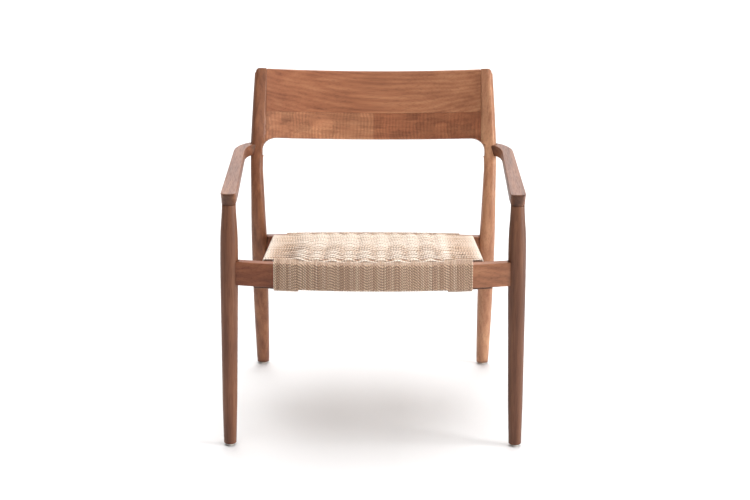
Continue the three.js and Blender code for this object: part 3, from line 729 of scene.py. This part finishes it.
def weftRoute(row, offset):
    # round the left side rail, over and under the warps, and round the right side rail
    rows = weave["weftPairs"]
    share = (row + 0.5) / rows
    shift = offset * weave["weftGap"]
    rise = rowRise[row] + dice.uniform(-0.3, 0.3) * mm
    sag = [dice.uniform(-0.6, 0.6) * weave["uneven"] for _ in range(weave["warps"] + 3)]
    firstWarp, lastWarp = warpPlaces[0], warpPlaces[-1]

    def placeY(x):
        reach = min(abs(x), frontHalf)
        lead = weave["firstRowLead"] + weave["cornerLead"] * smoothStep(reach, *weave["cornerZone"])
        front = frontMiddle(reach) + halfRail + lead
        back = backMiddle(min(abs(x), backHalf)) - halfRail - weave["lastRowGap"]
        return front + (back - front) * share + shift

    def placeZ(x):
        wave = 0.0
        position = (x - firstWarp) / weave["warpSpacing"]
        nearest = min(max(round(position), 0), weave["warps"] - 1)
        sign = 1 if (nearest + row) % 2 == 0 else -1
        away = abs(position - nearest)
        if firstWarp <= x <= lastWarp:
            wave = sign * math.cos(math.pi * away) ** 1.3 if away < 0.5 else 0.0
        elif away < 1:
            wave = sign * (math.cos(math.pi * away) + 1) / 2
        slot = int(min(max(position + 1, 0), len(sag) - 1))
        between = math.sin(math.pi * position) ** 2 if -0.5 < position < weave["warps"] - 0.5 else 1
        height = weave["wave"] * wave + rise + (sag[slot] - weave["valley"]) * between
        outside = smoothStep(abs(x), lastWarp, lastWarp + weave["warpSpacing"])
        # painted shade: deep rows, cords between the warps and rows near the front are drawn browner,
        # and the cords outside the warps darker
        frontness = 1 - 0.9 * smoothStep(share, 0.15, 0.65)
        paintedShade = paperCord["rowShadeTones"][row % 4] * between**1.6 * frontness * (1 - 0.5 * outside)
        return height, paintedShade + paperCord["sideShade"] * outside

    xs = np.linspace(-(sideIn - 2 * mm), sideIn - 2 * mm, weave["weftSteps"])
    crossing = []
    for x in xs:
        y = placeY(x)
        fade = 1 - smoothStep(abs(x), sideIn - 22 * mm, sideIn - 2 * mm)
        height, paintedShade = placeZ(x)
        crossing.append((x, y, seatTop(y) + lift - sideDrop * (1 - fade) + height * fade, paintedShade))

    def roundRail(side):
        # from the hook nail inside the rail, under it and up its outside to the top
        y = placeY(side * sideIn)
        soft = 4 * mm
        top = lift - sideDrop
        low = -sideDrop - sideDepth - lift
        outline = [
            (sideIn, -weave["hookDepth"]), (sideIn, low), (sideOut, low), (sideOut, top), (sideIn, top),
        ]
        flat = [Vector(outline[0])]
        ys = [y - 0.8 * shift]  # the pair's two cords meet on the nail
        for i in (1, 2, 3):
            before, here, after = (Vector(outline[i + j]) for j in (-1, 0, 1))
            start = here + (before - here).normalized() * soft
            end = here + (after - here).normalized() * soft
            for k in range(cornerSteps + 1):
                t = k / cornerSteps
                flat.append(start.lerp(here, t).lerp(here.lerp(end, t), t))
                ys.append(y)
        return [(side * a, v, seatTop(y) + b) for (a, b), v in zip(flat, ys)]

    return roundRail(-1) + crossing + roundRail(1)[::-1]


weftRoutes = []
for row in range(weave["weftPairs"]):
    for offset in (-1, 1):
        weftRoutes.append((weftRoute(row, offset), False))
middleRow = len(weftRoutes) // 2
weftLook = ((0, 1, 0), 7, paperCord["seatLitTones"], paperCord["weftSlip"])
frontWefts = cordMesh("seat_weft_cord_front", weftRoutes[:middleRow], *weftLook)
backWefts = cordMesh("seat_weft_cord_back", weftRoutes[middleRow:], *weftLook)
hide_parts("woven_seat")
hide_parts("woven_seat", "side_cord_wrap_left", "side_cord_wrap_right")
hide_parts("woven_seat", "side_cord_wrap_left", "side_cord_wrap_right")
print("seat woven:", len(weftRoutes), "wefts on", len(warpRoutes), "warps")


# ---- hook nails

nails = {"thickness": 1.6 * mm, "reach": 7 * mm, "hook": 6 * mm, "height": 31 * mm}
for side, word in ((-1, "left"), (1, "right")):
    # one L-shaped nail in the side rail's inner face for each pair of wefts
    nailRoutes = []
    for row in range(weave["weftPairs"]):
        ends = [weftRoutes[2 * row + k][0][0 if side < 0 else -1] for k in (0, 1)]
        y = (ends[0][1] + ends[1][1]) / 2
        z = seatTop(y) - nails["height"]
        wall, tip = side * sideLow.x, side * (sideLow.x - nails["reach"])
        nailRoutes.append(
            ([(wall + side * 2 * mm, y, z), (wall, y, z), (tip + side * 1 * mm, y, z),
              (tip, y, z + 1 * mm), (tip, y, z + nails["hook"])], False)
        )
    cordMesh(
        "hook_nails_" + word, nailRoutes, (0, 1, 0), 6, (0, 1), (0, 1),
        thick=nails["thickness"] / 2, finish=(steel, "nail_steel"),
    )
print("hook nails set:", 2 * weave["weftPairs"])


# ---- floor, lights and camera

studio = {
    "floorSize": 60,
    "floorColour": "#E6E5E5",
    "worldLevel": 0.22,
    "overhead": {"place": (0.2, 3.0, 5.0), "aim": (0.2, 3.0, 0), "size": (5, 14), "power": 760},
    "key": {"place": (3.4, -1.1, 1.1), "aim": (0, 0, 0.45), "size": (1.5, 1.4), "power": 112},
    "back": {"place": (0.4, 8.5, 2.4), "aim": (0, 0, 1.4), "size": (9, 4.4), "power": 150},
}

deselectAll()
bpy.ops.mesh.primitive_plane_add(size=studio["floorSize"], location=(0, 0, 0))
floor = bpy.context.object
floor.name = "floor"
floorPaint, floorTree, floorShader = newMaterial("floor_matt_white")
floorShader.inputs["Base Color"].default_value = paint(studio["floorColour"])
floorShader.inputs["Roughness"].default_value = 0.9
floorShader.inputs["Specular IOR Level"].default_value = 0.1
floor.data.materials.append(floorPaint)

world = bpy.data.worlds.new("studio")
bpy.context.scene.world = world
world.use_nodes = True
worldBack = world.node_tree.nodes["Background"]
worldBack.inputs["Color"].default_value = (1, 1, 1, 1)
worldBack.inputs["Strength"].default_value = studio["worldLevel"]

for name in ("overhead", "key", "back"):
    box = studio[name]
    deselectAll()
    bpy.ops.object.light_add(type="AREA", location=box["place"])
    lamp = bpy.context.object
    lamp.name = name
    lamp.data.shape = "RECTANGLE"
    lamp.data.size, lamp.data.size_y = box["size"]
    lamp.data.energy = box["power"]
    towards = Vector(box["aim"]) - Vector(box["place"])
    lamp.rotation_euler = towards.to_track_quat("-Z", "Y").to_euler()
    lamp.visible_camera = False

viewpoint = {"away": 4.132, "height": 1.5852, "down": 15.411, "roll": -0.2, "lens": 95.89}

camera = bpy.data.cameras.new("camera")
cameraPiece = bpy.data.objects.new("camera", camera)
bpy.context.scene.collection.objects.link(cameraPiece)
cameraPiece.location = (0, legY - viewpoint["away"], viewpoint["height"])
cameraPiece.rotation_euler = (
    math.radians(90 - viewpoint["down"]), math.radians(viewpoint["roll"]), 0
)
camera.sensor_width = 36
camera.lens = viewpoint["lens"]
camera.clip_end = 100
bpy.context.scene.camera = cameraPiece
bpy.context.scene.view_settings.view_transform = "Standard"
print("stage set")
